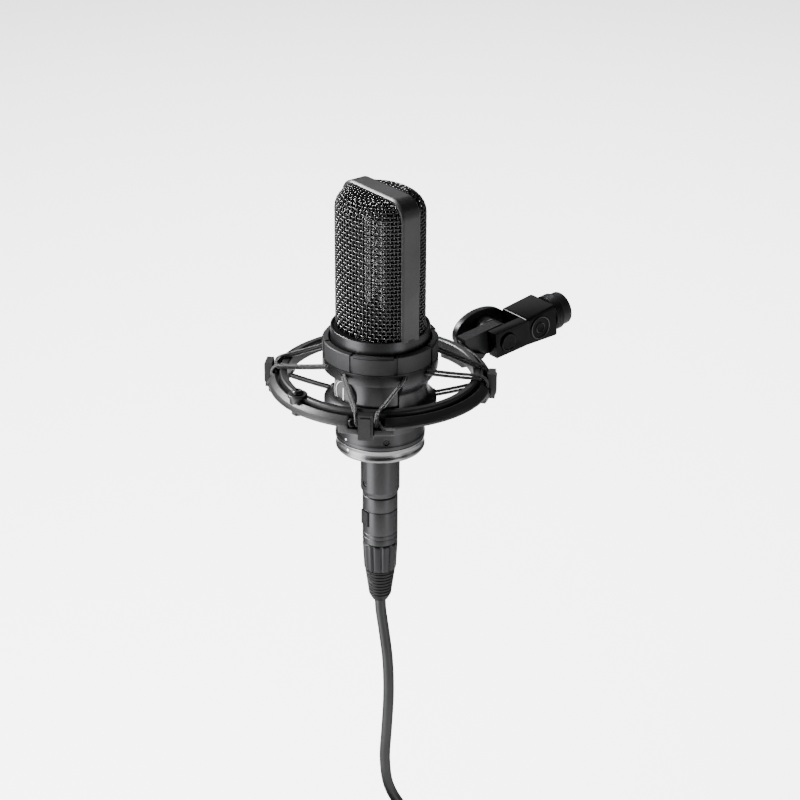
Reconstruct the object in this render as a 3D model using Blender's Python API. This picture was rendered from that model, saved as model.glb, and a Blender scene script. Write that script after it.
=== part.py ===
"""Side-address ribbon microphone in an elastic shock mount, with its XLR plug, cable and stand swivel.

The origin is the centre of the stand socket's mouth.  +Z is up along the microphone, -Y is its
front, and the stand's boom comes in from +Y.
"""
import math

import bmesh
import bpy
from mathutils import Vector

MM = 0.001
GAP = 0.3 * MM                  # clearance between pieces that touch

# The frame: the microphone's axis, the ring's mid-plane, and the swivel's own axis
MIC_Y = -130 * MM               # from the socket's mouth to the microphone's axis
RING_Z = -6.3 * MM              # from the socket's mouth to the outer ring's mid-plane
SOCKET_TILT = math.radians(5.5)  # how far the socket's axis rises towards the boom
PIVOT_REACH = 48.2 * MM         # from the socket's mouth back to the pivot
CLIP_ANGLES = [math.radians(a) for a in (-45, 45, 135, 225)]
CLIP_NAMES = ["front_right", "rear_right", "rear_left", "front_left"]
FRONT = math.radians(-90)

# Microphone head
HEAD_TOP = 108.2 * MM
HEAD_FOOT = 31.8 * MM
HEAD_HALF_WIDTH = 26.6 * MM
HEAD_HALF_DEPTH = 22.6 * MM
FRAME_HALF_DEPTH = 6 * MM
FRAME_THICK = 2.2 * MM
CORNER = 10 * MM
GRILLE_ROUND = 10 * MM
GRILLE_THICK = 1.1 * MM
SCREEN_INSET = 2.0 * MM

# Microphone body
COLLAR_R = 26.7 * MM
BODY_R = 24.0 * MM
TAIL_R = 21.8 * MM
BODY_HOLLOW_R = 22.2 * MM
BASE_Z = -34.5 * MM
NECK_R = 10.7 * MM
NECK_BORE_R = 8.4 * MM
NECK_END = -69.5 * MM
BADGE_Z = -3.0 * MM
BADGE_R = 8.6 * MM

# Basket and lock ring
BASKET_R = 31.0 * MM
BASKET_BORE_R = 27.6 * MM
RIB_R = 25.6 * MM
RIB_BORE_R = 24.4 * MM
FLARE_R = 30.0 * MM
CUP_R = 24.1 * MM
SLOT_WIDTH = 2 * MM
FRONT_WINDOW = math.radians(150)
REAR_WINDOW = math.radians(60)
WINDOW_LOW, WINDOW_TOP = -7.6 * MM, 8.2 * MM

# Outer ring, clips and elastics
RING_INNER_R = 49.8 * MM
RING_OUTER_R = 60.2 * MM
# Where the ring is shallow, between the clips and the bracket: centre and width of each arc, in degrees
RING_SHALLOW = ((0, 62), (-90, 62), (180, 62), (69.5, 21), (110.5, 21))
CLIP_WIDTH, CLIP_HEIGHT, CLIP_THICK = 8 * MM, 13.6 * MM, 3.4 * MM
CLIP_INNER_R = 59.3 * MM
BOSS_AT_R = 54.8 * MM
ELASTIC_R = 1.0 * MM
ELASTIC_SPREAD = math.radians(31.4)

KNOB_HALF_LENGTH, KNOB_HALF_HEIGHT = 19 * MM, 11.7 * MM

# Plug and cable
PLUG_R = 9.8 * MM
PLUG_TOP, SHELL_END, BUSHING_END, BOOT_END = (z * MM for z in (-69.9, -99.6, -117, -137.2))
PIN_PITCH_R = 3.6 * MM
PIN_R = 1.15 * MM
CABLE_R = 3.25 * MM
COIL_R = 35 * MM                # mean radius of the coil's turns
COIL_HALF_WIDE, COIL_HALF_DEEP = 10 * MM, 13 * MM
COIL_Z = -336 * MM
COIL_TURN = math.radians(51.6)  # the direction that the coil's plane lies along
TIE_ANGLE = 128                 # where the tie holds the coil, in degrees round from its side


def clear_scene():
    for old in list(bpy.data.objects):
        bpy.data.objects.remove(old, do_unlink=True)


def material(name, colour, roughness, metallic=0.0):
    made = bpy.data.materials.get(name) or bpy.data.materials.new(name)
    made.use_nodes = True
    shader = made.node_tree.nodes["Principled BSDF"]
    shader.inputs["Base Color"].default_value = (*colour, 1)
    shader.inputs["Roughness"].default_value = roughness
    shader.inputs["Metallic"].default_value = metallic
    return made


def empty(name, location, rotation=(0, 0, 0), parent=None):
    made = bpy.data.objects.new(name, None)
    bpy.context.collection.objects.link(made)
    made.location = location
    made.rotation_euler = rotation
    made.parent = parent
    return made


def add(name, data, finish, parent, location=(0, 0, 0), rotation=(0, 0, 0)):
    made = bpy.data.objects.new(name, data)
    bpy.context.collection.objects.link(made)
    made.data.materials.append(finish)
    made.parent = parent
    made.location = location
    made.rotation_euler = rotation
    return made


def mesh_of(name, bm, smooth=False):
    bmesh.ops.recalc_face_normals(bm, faces=bm.faces)
    made = bpy.data.meshes.new(name)
    bm.to_mesh(made)
    bm.free()
    if smooth:
        made.shade_smooth()
        made.set_sharp_from_angle(angle=math.radians(35))
    return made


def turned(name, profile, steps=40, start=0.0):
    """A profile of (radius, height) turned about Z; it closes on itself or ends on the axis."""
    bm = bmesh.new()
    rows = []
    for radius, height in profile:
        count = steps if radius > 0 else 1
        row = []
        for i in range(count):
            turn = start + math.tau * i / steps
            row.append(bm.verts.new((radius * math.cos(turn), radius * math.sin(turn), height)))
        rows.append(row)
    on_axis = profile[0][0] == 0 and profile[-1][0] == 0
    pairs = zip(rows, rows[1:] if on_axis else rows[1:] + rows[:1])
    for low, high in pairs:
        for i in range(steps):
            j = (i + 1) % steps
            corners = [low[i % len(low)], low[j % len(low)], high[j % len(high)], high[i % len(high)]]
            unique = list(dict.fromkeys(corners))
            if len(unique) > 2:
                bm.faces.new(unique)
    return mesh_of(name, bm, smooth=True)


def extruded(name, outline, low, high, lift=lambda a, b, c: (a, b, c)):
    """A flat outline of (a, b) points drawn out from c = low to c = high; lift turns it in space."""
    bm = bmesh.new()
    floor = [bm.verts.new(lift(a, b, low)) for a, b in outline]
    roof = [bm.verts.new(lift(a, b, high)) for a, b in outline]
    bm.faces.new(floor)
    bm.faces.new(roof)
    for i in range(len(outline)):
        j = (i + 1) % len(outline)
        bm.faces.new((floor[i], floor[j], roof[j], roof[i]))
    return mesh_of(name, bm)


def block(name, low, high):
    (x0, y0, z0), (x1, y1, z1) = low, high
    return extruded(name, [(x0, y0), (x1, y0), (x1, y1), (x0, y1)], z0, z1)


def along_y(a, b, c):
    return (a, c, b)


def along_x(a, b, c):
    return (c, a, b)


def arc(centre, radius, start, end, count):
    """Points along an arc, from the angle start to the angle end, both in degrees."""
    angles = [math.radians(start + (end - start) * i / count) for i in range(count + 1)]
    return [(centre[0] + radius * math.cos(t), centre[1] + radius * math.sin(t)) for t in angles]


def cut(target, cutter_mesh, parent, location=(0, 0, 0), rotation=(0, 0, 0), join=False):
    """Takes a hidden shape out of a piece, or joins it on."""
    tool = bpy.data.objects.new(cutter_mesh.name + "_cutter", cutter_mesh)
    bpy.context.collection.objects.link(tool)
    tool.parent = parent
    tool.location = location
    tool.rotation_euler = rotation
    tool.hide_render = True
    tool.display_type = "WIRE"
    step = target.modifiers.new("join" if join else "cut", "BOOLEAN")
    step.operation = "UNION" if join else "DIFFERENCE"
    step.solver = "EXACT"
    step.object = tool


def bevelled(piece, width, segments=1, angle=40):
    step = piece.modifiers.new("edges", "BEVEL")
    step.width = width
    step.segments = segments
    step.limit_method = "ANGLE"
    step.angle_limit = math.radians(angle)
    return piece


def polar(radius, turn, height):
    return Vector((radius * math.cos(turn), radius * math.sin(turn), height))


def smooth_through(route, count):
    """Evenly numbered points on a smooth curve through the route's own points (Catmull-Rom)."""
    ends = [route[0] * 2 - route[1], *route, route[-1] * 2 - route[-2]]
    spans = len(route) - 1
    found = []
    for i in range(count):
        place = min(i * spans / (count - 1), spans - 1e-9)
        k, t = int(place), place - int(place)
        a, b, c, d = ends[k:k + 4]
        found.append(0.5 * (2 * b + (c - a) * t + (2 * a - 5 * b + 4 * c - d) * t**2
                            + (3 * b - a - 3 * c + d) * t**3))
    return found


def tube(name, points, radius, resolution, closed=False):
    data = bpy.data.curves.new(name, "CURVE")
    data.dimensions = "3D"
    data.bevel_depth = radius
    data.bevel_resolution = resolution
    data.use_fill_caps = True
    line = data.splines.new("POLY")
    line.points.add(len(points) - 1)
    for place, point in zip(line.points, points):
        place.co = (*point, 1)
    line.use_cyclic_u = closed
    return data


def grille_half(name, side, inset, thick, steps):
    """One half of the head's shell: oval in plan, rounded at the top, open at its foot and flat side."""
    edge = FRAME_HALF_DEPTH + GAP
    foot = HEAD_FOOT + GAP * (inset > 0)

    def rows(shrink):
        found = []
        top = HEAD_TOP - shrink
        bend = GRILLE_ROUND
        levels = [(0, foot), (0, (foot + top - bend) / 2)]
        levels += [(bend * (1 - math.cos(t)), top - bend + bend * math.sin(t))
                   for t in (math.radians(90 * i / 5) for i in range(6))]
        for pull, height in levels:
            wide = HEAD_HALF_WIDTH - shrink - pull
            deep = HEAD_HALF_DEPTH - shrink - pull
            first = math.asin(edge / deep)
            turns = [first + (math.pi - 2 * first) * i / steps for i in range(steps + 1)]
            found.append([(wide * math.cos(t), side * deep * math.sin(t), height) for t in turns])
        return found

    bm = bmesh.new()
    outer, inner = ([[bm.verts.new(p) for p in row] for row in rows(s)] for s in (inset, inset + thick))
    for skin in (outer, inner):
        for low, high in zip(skin, skin[1:]):
            for i in range(steps):
                bm.faces.new((low[i], low[i + 1], high[i + 1], high[i]))
        bm.faces.new(skin[-1])
    for k in range(len(outer) - 1):
        for i in (0, -1):
            bm.faces.new((outer[k][i], outer[k + 1][i], inner[k + 1][i], inner[k][i]))
    bm.faces.new((outer[-1][0], outer[-1][-1], inner[-1][-1], inner[-1][0]))
    for i in range(steps):
        bm.faces.new((outer[0][i], outer[0][i + 1], inner[0][i + 1], inner[0][i]))
    return mesh_of(name, bm, smooth=True)


def build_head(mic, black, mesh_black, steel, magnet, foil, plastic):
    """The head's frame band, its grilles and screens, and the ribbon motor inside it."""
    w, t = HEAD_HALF_WIDTH, FRAME_THICK
    outer = [(w, HEAD_FOOT), *arc((w - CORNER, HEAD_TOP - CORNER), CORNER, 0, 90, 7),
             *arc((CORNER - w, HEAD_TOP - CORNER), CORNER, 90, 180, 7), (-w, HEAD_FOOT)]
    inner = [(-w + t, HEAD_FOOT), *arc((CORNER - w, HEAD_TOP - CORNER), CORNER - t, 180, 90, 7),
             *arc((w - CORNER, HEAD_TOP - CORNER), CORNER - t, 90, 0, 7), (w - t, HEAD_FOOT)]
    band = extruded("head_frame", outer + inner, -FRAME_HALF_DEPTH, FRAME_HALF_DEPTH, along_y)
    add("head_frame", band, black, mic)
    for name, side in (("front", -1), ("rear", 1)):
        add(name + "_grille", grille_half(name + "_grille", side, 0, GRILLE_THICK, 20), mesh_black, mic)
        screen = grille_half(name + "_screen", side, SCREEN_INSET, 0.6 * MM, 12)
        add(name + "_screen", screen, steel, mic)

    low, high = 38 * MM, 97 * MM
    gap_low, gap_high = 43 * MM, 92 * MM
    yoke = add("motor_frame", block("motor_frame", (-15 * MM, -5 * MM, low), (15 * MM, 5 * MM, high)),
               steel, mic)
    cut(yoke, block("gap", (-9.5 * MM, -9 * MM, gap_low), (9.5 * MM, 9 * MM, gap_high)), mic)
    for name, side in (("magnet_left", -1), ("magnet_right", 1)):
        near, far = sorted((side * 3 * MM, side * 9.2 * MM))
        bar = block(name, (near, -4 * MM, gap_low + GAP), (far, 4 * MM, gap_high - GAP))
        add(name, bar, magnet, mic)
    folds = 36
    step = (gap_high - gap_low - 2 * MM) / folds
    wave = [((0.45 * MM) * (1 if i % 2 else -1), gap_low + MM + i * step) for i in range(folds + 1)]
    strip = [*wave, *((y + 0.3 * MM, z) for y, z in reversed(wave))]
    add("ribbon", extruded("ribbon", strip, -2.2 * MM, 2.2 * MM, along_x), foil, mic)
    for name, z in (("ribbon_clamp_bottom", gap_low + GAP), ("ribbon_clamp_top", gap_high - 3.5 * MM)):
        bar = block(name, (-2.6 * MM, 1.2 * MM, z), (2.6 * MM, 4 * MM, z + 3.2 * MM))
        add(name, bar, plastic, mic)


def build_body(mic, black, steel, brass, board_green, copper, badge_grey):
    """The microphone's collar, body tube, base and neck, with what they hold."""
    collar = [(COLLAR_R, 31.5 * MM), (COLLAR_R, 17 * MM), (BODY_R, 14.3 * MM),
              (BODY_HOLLOW_R, 14.3 * MM), (BODY_HOLLOW_R, 31.5 * MM)]
    add("mic_collar", turned("mic_collar", collar), black, mic)
    deck = [(0, 27 * MM), (21.8 * MM, 27 * MM), (21.8 * MM, 30 * MM), (9 * MM, 30 * MM),
            (9 * MM, 37.6 * MM), (0, 37.6 * MM)]
    add("motor_deck", turned("motor_deck", deck, 24), steel, mic)
    tube_profile = [(BODY_R, 14 * MM), (BODY_R, -14.2 * MM), (TAIL_R, -15.6 * MM), (TAIL_R, -31.5 * MM),
                    (20.2 * MM, -31.5 * MM), (20.2 * MM, -15 * MM), (BODY_HOLLOW_R, -13 * MM),
                    (BODY_HOLLOW_R, 14 * MM)]
    body = add("body_tube", turned("body_tube", tube_profile), black, mic)
    facing = (math.radians(90), 0, 0)
    cut(body, turned("badge_seat", [(0, -5 * MM), (BADGE_R + GAP, -5 * MM), (BADGE_R + GAP, MM), (0, MM)], 24),
        mic, (0, -23.9 * MM, BADGE_Z), facing)
    crown = [(0, -1.2 * MM), (BADGE_R, -1.2 * MM), (BADGE_R, -0.5 * MM), (6.5 * MM, 0.1 * MM),
             (3 * MM, 0.4 * MM), (0, 0.5 * MM)]
    add("badge", turned("badge", crown, 24), badge_grey, mic, (0, -22.9 * MM, BADGE_Z), facing)
    add("body_base", turned("body_base", [(TAIL_R, -31.8 * MM), (TAIL_R, BASE_Z), (6 * MM, BASE_Z),
                                          (6 * MM, -31.8 * MM)], 36), black, mic)

    neck_profile = [(NECK_R, BASE_Z - GAP), (NECK_R, -66.5 * MM), (NECK_R - 0.7 * MM, -68.4 * MM),
                    (NECK_R - 0.7 * MM, NECK_END), (NECK_BORE_R, NECK_END), (NECK_BORE_R, -43 * MM),
                    (5 * MM, -43 * MM), (5 * MM, BASE_Z - GAP)]
    neck = add("xlr_neck", turned("xlr_neck", neck_profile, 36), black, mic)
    screw_z = -61 * MM
    cut(neck, turned("screw_seat", [(0, -1.6 * MM), (1.6 * MM, -1.6 * MM), (1.6 * MM, MM), (0, MM)], 12),
        mic, (0, -NECK_R, screw_z), facing)
    screw = [(0, -0.9 * MM), (1.3 * MM, -0.9 * MM), (1.3 * MM, 0.1 * MM), (0, 0.1 * MM)]
    add("neck_screw", turned("neck_screw", screw, 12), steel, mic, (0, -NECK_R + 0.4 * MM, screw_z), facing)
    insert = [(0, -48 * MM), (8.1 * MM, -48 * MM), (8.1 * MM, -43.4 * MM), (0, -43.4 * MM)]
    add("xlr_insert", turned("xlr_insert", insert, 24), black, mic)
    for i in range(3):
        turn = FRONT + math.radians(120 * i + 60)
        pin = [(0, -65 * MM), (0.6 * MM, -65 * MM), (PIN_R, -64.3 * MM), (PIN_R, -48.3 * MM), (0, -48.3 * MM)]
        place = polar(PIN_PITCH_R, turn, 0)
        add(f"xlr_pin_{i + 1}", turned(f"xlr_pin_{i + 1}", pin, 10), brass, mic, place)

    add("chassis_plate", block("chassis_plate", (-17 * MM, MM, -30 * MM), (17 * MM, 2.5 * MM, 26 * MM)),
        steel, mic)
    add("circuit_board", block("circuit_board", (-15 * MM, -3 * MM, -28 * MM), (15 * MM, -1.4 * MM, 24 * MM)),
        board_green, mic)
    add("transformer", block("transformer", (-10 * MM, 3 * MM, -26 * MM), (10 * MM, 16 * MM, -4 * MM)),
        copper, mic)


def sector(name, radius, centre, width, low, high):
    """A wedge about the Z axis, for cutting a window."""
    half = math.degrees(width) / 2
    middle = math.degrees(centre)
    return extruded(name, [(0, 0), *arc((0, 0), radius, middle - half, middle + half, 12)], low, high)


def build_basket(mic, black, grey, steel):
    """The inner cradle that grips the microphone: slotted ring, windowed body, cup and lock ring."""
    ring = [(BASKET_R, 24.8 * MM), (BASKET_R, 15.2 * MM), (BASKET_BORE_R, 15.2 * MM),
            (BASKET_BORE_R, 24.8 * MM)]
    ring = add("basket_ring", turned("basket_ring", ring, 48, math.pi / 48), black, mic)
    for i in range(4):
        bar = block("slot", (-40 * MM, -SLOT_WIDTH / 2, 17 * MM), (40 * MM, SLOT_WIDTH / 2, 30 * MM))
        cut(ring, bar, mic, rotation=(0, 0, math.radians(22.5 + 45 * i)))
    shell = [(BASKET_R, 14.9 * MM), (BASKET_R, 7.5 * MM), (30 * MM, 4.6 * MM), (26.6 * MM, MM),
             (RIB_R, -1.5 * MM), (RIB_R, -6.5 * MM), (FLARE_R, -12.2 * MM), (FLARE_R, -14.6 * MM),
             (RIB_BORE_R, -14.6 * MM), (RIB_BORE_R, 3 * MM), (BASKET_BORE_R, 8 * MM),
             (BASKET_BORE_R, 14.9 * MM)]
    body = add("basket_body", turned("basket_body", shell), black, mic)
    cut(body, sector("front_window", 40 * MM, FRONT, FRONT_WINDOW, WINDOW_LOW, WINDOW_TOP), mic)
    cut(body, sector("rear_window", 40 * MM, -FRONT, REAR_WINDOW, WINDOW_LOW, WINDOW_TOP), mic)
    cup = [(CUP_R, -14.9 * MM), (CUP_R, -25.6 * MM), (CUP_R - 0.5 * MM, -26.6 * MM), (CUP_R, -27.6 * MM),
           (CUP_R, -32.8 * MM), (22.4 * MM, -32.8 * MM), (22.4 * MM, -15.9 * MM),
           (CUP_R - 0.6 * MM, -14.9 * MM)]
    cup = add("basket_cup", turned("basket_cup", cup), black, mic)
    for i, turn in enumerate((-60, 60, 180)):
        aim = FRONT + math.radians(turn)
        tilt = (0, math.radians(90), aim)
        seat = turned("cup_screw_seat", [(0, -2 * MM), (1.5 * MM, -2 * MM), (1.5 * MM, 2 * MM), (0, 2 * MM)], 12)
        cut(cup, seat, mic, polar(CUP_R, aim, -22 * MM), tilt)
        screw = turned(f"cup_screw_{i + 1}", [(0, -MM), (1.2 * MM, -MM), (1.2 * MM, 0.2 * MM), (0, 0.2 * MM)], 12)
        add(f"cup_screw_{i + 1}", screw, steel, mic, polar(CUP_R - 0.3 * MM, aim, -22 * MM), tilt)
    lock = [(CUP_R, -33.1 * MM), (CUP_R - 0.8 * MM, -34.8 * MM), (CUP_R - 0.8 * MM, -37.2 * MM),
            (CUP_R, -38.8 * MM), (CUP_R - 0.3 * MM, -40.3 * MM), (11.2 * MM, -40.3 * MM),
            (11.2 * MM, -37 * MM), (22.3 * MM, -37 * MM), (22.3 * MM, -33.1 * MM)]
    add("lock_ring", turned("lock_ring", lock), grey, mic)


def elastic_loop(inner_r, inner_z, outer_r, outer_z):
    """One cord's whole run: over each clip, in to the basket, along it and out to the next clip."""
    points = []
    for clip in CLIP_ANGLES:
        points += [polar(inner_r, clip - ELASTIC_SPREAD, inner_z)]
        points += [polar((inner_r + outer_r) / 2, clip - ELASTIC_SPREAD * 0.36, (inner_z + outer_z) / 2)]
        points += [polar(outer_r - 0.8 * MM, clip + math.radians(d), outer_z) for d in (-2.4, 0, 2.4)]
        points += [polar((inner_r + outer_r) / 2, clip + ELASTIC_SPREAD * 0.36, (inner_z + outer_z) / 2)]
        points += [polar(inner_r, clip + ELASTIC_SPREAD, inner_z)]
        points += [polar(inner_r, clip + math.radians(45), inner_z)]
    return points


def build_ring(mic, black, rubber, steel):
    """The outer ring, its four cord clips, the bolted boss at its front and the two elastic cords."""
    low, rim = -5.8 * MM, 5.0 * MM
    profile = [(RING_INNER_R, low + 0.8 * MM), (RING_INNER_R, rim - 0.8 * MM), (50.6 * MM, rim),
               (53.2 * MM, rim), (54 * MM, 1.8 * MM), (55.4 * MM, 1.8 * MM), (56.4 * MM, 3.6 * MM),
               (59.6 * MM, 0.4 * MM), (RING_OUTER_R, -0.8 * MM), (RING_OUTER_R, low + 0.8 * MM),
               (59.4 * MM, low), (50.6 * MM, low)]
    ring = add("outer_ring", turned("outer_ring", profile, 60, math.radians(3)), black, mic)
    for centre, width in RING_SHALLOW:
        cut(ring, sector("shallow", 70 * MM, math.radians(centre), math.radians(width), -9 * MM, -2 * MM), mic)
    boss = turned("boss", [(0, -3.4 * MM), (4.2 * MM, -3.4 * MM), (4.2 * MM, 6 * MM), (0, 6 * MM)], 18)
    cut(ring, boss, mic, (0, -BOSS_AT_R, 0), join=True)
    cut(ring, turned("bolt_hole", [(0, -9 * MM), (1.9 * MM, -9 * MM), (1.9 * MM, 9 * MM), (0, 9 * MM)], 12),
        mic, (0, -BOSS_AT_R, 0))
    bolt = [(0, -6.2 * MM), (1.5 * MM, -6.2 * MM), (1.5 * MM, 6.3 * MM), (3 * MM, 6.3 * MM),
            (3 * MM, 7.6 * MM), (2.4 * MM, 8.2 * MM), (0, 8.2 * MM)]
    add("ring_bolt", turned("ring_bolt", bolt, 16), steel, mic, (0, -BOSS_AT_R, 0))
    nut = [(1.8 * MM, -5.7 * MM), (3.2 * MM, -5.7 * MM), (3.2 * MM, -3.7 * MM), (1.8 * MM, -3.7 * MM)]
    add("ring_nut", turned("ring_nut", nut, 6), steel, mic, (0, -BOSS_AT_R, 0))
    half = CLIP_WIDTH / 2
    for name, turn in zip(CLIP_NAMES, CLIP_ANGLES):
        seat = block("seat", (CLIP_INNER_R - GAP, -half - GAP, -9 * MM), (70 * MM, half + GAP, 9 * MM))
        cut(ring, seat, mic, rotation=(0, 0, turn))
        plate = block("clip_" + name, (CLIP_INNER_R, -half, -CLIP_HEIGHT / 2),
                      (CLIP_INNER_R + CLIP_THICK, half, CLIP_HEIGHT / 2))
        bevelled(add("clip_" + name, plate, black, mic, rotation=(0, 0, turn)), 0.8 * MM)
    for name, route in (("elastic_upper", (32.5 * MM, 12 * MM, 57.4 * MM, 6.8 * MM)),
                        ("elastic_lower", (31.6 * MM, -13.4 * MM, 57.4 * MM, -7.5 * MM))):
        add(name, tube(name, elastic_loop(*route), ELASTIC_R, 2, closed=True), rubber, mic)


def tapered_body(name, front, back):
    """The adapter's box, which grows towards the socket's round end."""
    bm = bmesh.new()
    for y, left, right, half in ((front, -11.7, 10.2, 8), (back, -11.2, 10.4, 9.6)):
        for x, z in ((left, -half), (right, -half), (right, half), (left, half)):
            bm.verts.new((x * MM, y, z * MM))
    bmesh.ops.convex_hull(bm, input=bm.verts)
    return mesh_of(name, bm)


def build_swivel(socket, pivot, black, brass, steel, grey):
    """The stand adapter with its threaded socket, and the bracket, bolt, washer and knob of its pivot."""
    back, reach = -12 * MM, PIVOT_REACH
    adapter = add("stand_adapter", tapered_body("stand_adapter", -33 * MM, back), black, socket)
    cut(adapter, block("front_ear", (3.2 * MM, -56.8 * MM, -7.4 * MM), (10 * MM, -30 * MM, 7.4 * MM)),
        socket, join=True)
    bevelled(adapter, 1.3 * MM)
    along = (math.radians(-90), 0, 0)
    cut(adapter, turned("socket_bore", [(0, -16 * MM), (8.6 * MM, -16 * MM), (8.6 * MM, 9 * MM), (0, 9 * MM)], 32),
        socket, rotation=along)
    across = (0, math.radians(90), 0)
    cut(adapter, turned("bolt_bore", [(0, -30 * MM), (3.3 * MM, -30 * MM), (3.3 * MM, 30 * MM), (0, 30 * MM)], 20),
        socket, (0, -reach, 0), across)
    insert = [(7.94 * MM, -15 * MM), (8.5 * MM, -15 * MM), (8.5 * MM, -0.8 * MM), (7.94 * MM, -0.8 * MM)]
    add("thread_insert", turned("thread_insert", insert, 32), brass, socket, rotation=along)
    collar = [(8.8 * MM, back + GAP), (10.8 * MM, back + GAP), (10.8 * MM, 0), (8.8 * MM, 0)]
    add("socket_collar", turned("socket_collar", collar, 32), black, socket, rotation=along)

    bolt = [(0, -11.4 * MM), (3 * MM, -11.4 * MM), (3 * MM, 10.3 * MM), (5.4 * MM, 10.3 * MM),
            (5.4 * MM, 11.6 * MM), (4.6 * MM, 12.2 * MM), (0, 12.2 * MM)]
    add("pivot_bolt", turned("pivot_bolt", bolt, 20), black, pivot, rotation=across)
    ear = 7.8 * MM
    arm_end = 21.5 * MM
    side = [(-arm_end, -7.2 * MM), *arc((0, 0), ear, -95, 98, 12), (-25 * MM, 5 * MM), (-25 * MM, 2.9 * MM),
            (-22 * MM, -0.4 * MM), (-arm_end, -1.6 * MM)]
    bracket = add("ring_bracket", extruded("ring_bracket", side, -4.5 * MM, 2.7 * MM, along_x), black, pivot)
    cut(bracket, turned("ear_bore", [(0, -20 * MM), (3.3 * MM, -20 * MM), (3.3 * MM, 20 * MM), (0, 20 * MM)], 20),
        pivot, rotation=across)
    washer = [(3.3 * MM, -5.8 * MM), (8 * MM, -5.8 * MM), (8 * MM, -4.8 * MM), (3.3 * MM, -4.8 * MM)]
    add("pivot_washer", turned("pivot_washer", washer, 24), steel, pivot, rotation=across)
    hub = [(0, -13 * MM), (7 * MM, -13 * MM), (7 * MM, -6.1 * MM), (0, -6.1 * MM)]
    knob = add("clamp_knob", turned("clamp_knob", hub, 24), grey, pivot, rotation=across)
    wing = [(KNOB_HALF_LENGTH * math.cos(t), KNOB_HALF_HEIGHT * math.sin(t))
            for t in (math.tau * i / 28 for i in range(28))]
    cut(knob, extruded("wing", wing, -16 * MM, -12.3 * MM, along_x), pivot, join=True)
    cut(knob, turned("knob_bore", [(0, -12 * MM), (3.3 * MM, -12 * MM), (3.3 * MM, 0), (0, 0)], 20),
        pivot, rotation=across)


def build_plug(mic, black, rubber, steel):
    """The cable's XLR plug, its latch, and the bushing and boot that grip the cable."""
    nose_top = -55.2 * MM
    shell = [(8 * MM, nose_top), (8 * MM, PLUG_TOP), (PLUG_R, PLUG_TOP), (PLUG_R, SHELL_END),
             (7.4 * MM, SHELL_END), (7.4 * MM, nose_top)]
    shell = add("plug_shell", turned("plug_shell", shell, 36), black, mic)
    cut(shell, block("latch_slot", (-3.4 * MM, -12 * MM, -88.1 * MM), (3.4 * MM, -5 * MM, -78.8 * MM)), mic)
    latch = block("plug_latch", (-3.1 * MM, -10 * MM, -87.8 * MM), (3.1 * MM, -7.9 * MM, -79.1 * MM))
    bevelled(add("plug_latch", latch, steel, mic), 0.4 * MM)
    insert = [(0, -77 * MM), (7.1 * MM, -77 * MM), (7.1 * MM, -55.7 * MM), (0, -55.7 * MM)]
    insert = add("plug_insert", turned("plug_insert", insert, 24), rubber, mic)
    for i in range(3):
        turn = FRONT + math.radians(120 * i + 60)
        hole = turned("pin_hole", [(0, -66 * MM), (1.5 * MM, -66 * MM), (1.5 * MM, -50 * MM), (0, -50 * MM)], 10)
        cut(insert, hole, mic, polar(PIN_PITCH_R, turn, 0))
    bushing = [(0, BUSHING_END + GAP), (8.3 * MM, BUSHING_END + GAP), (9.7 * MM, SHELL_END - GAP),
               (0, SHELL_END - GAP)]
    add("plug_bushing", turned("plug_bushing", bushing, 24), black, mic)
    boot = [(0, BOOT_END), (3.8 * MM, BOOT_END), (5.8 * MM, -132.4 * MM), (8 * MM, BUSHING_END),
            (0, BUSHING_END)]
    add("strain_relief", turned("strain_relief", boot, 24), rubber, mic)


def build_cable(mic, black, rubber, strap):
    """The cable hanging from the boot, the tied coil of its spare length, and its far plug."""
    sideways = Vector((math.cos(COIL_TURN), math.sin(COIL_TURN), 0))
    route = [(0, -137.5), (0.4, -146), (2.2, -160), (4.2, -180), (4.8, -203), (3.6, -228), (1.6, -252),
             (1.0, -267), (3.6, -279), (9.4, -289.5)]
    points = [sideways * (x * MM) + Vector((0, 0, z * MM)) for x, z in route]
    add("cable", tube("cable", smooth_through(points, 24), CABLE_R, 2), rubber, mic)
    w, d, r = COIL_HALF_WIDE, COIL_HALF_DEEP, 5 * MM
    ring = [(COIL_R + w, -d + r), (COIL_R + w, d - r), (COIL_R + w - r, d), (COIL_R - w + r, d),
            (COIL_R - w, d - r), (COIL_R - w, -d + r), (COIL_R - w + r, -d), (COIL_R + w - r, -d)]
    hanging = empty("coil_centre", (0, 0, COIL_Z), (math.radians(90), 0, COIL_TURN), mic)
    add("cable_coil", turned("cable_coil", ring, 32), rubber, hanging)
    half, wall, bow = 6 * MM, 1.4 * MM, 1.3 * MM
    tie_turn = (0, 0, math.radians(TIE_ANGLE))
    band = block("coil_tie", (COIL_R - w - bow - wall, -half, -d - GAP - wall),
                 (COIL_R + w + GAP + wall, half, d + GAP + wall))
    tie = add("coil_tie", band, strap, hanging, rotation=tie_turn)
    inside = block("tie_inside", (COIL_R - w - bow, -2 * half, -d - GAP), (COIL_R + w + GAP, 2 * half, d + GAP))
    cut(tie, inside, hanging, rotation=tie_turn)

    tail_x, tail_top, tail_end = COIL_R + w + 2.4 * MM, COIL_Z - 15 * MM, COIL_Z - 32 * MM
    tail = [sideways * (tail_x + bow * i / 3) + Vector((0, 0, tail_top + (tail_end - tail_top) * i / 3))
            for i in range(4)]
    add("cable_tail", tube("cable_tail", tail, CABLE_R, 2), rubber, mic)
    plug = [(0, 0), (3.6 * MM, 0), (6.8 * MM, -17 * MM), (8.2 * MM, -17.5 * MM), (9.2 * MM, -33 * MM),
            (PLUG_R, -34 * MM), (PLUG_R, -76 * MM), (0, -76 * MM)]
    add("end_plug", turned("end_plug", plug, 24), black, mic,
        sideways * (tail_x + bow) + Vector((0, 0, tail_end - GAP)))


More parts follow.
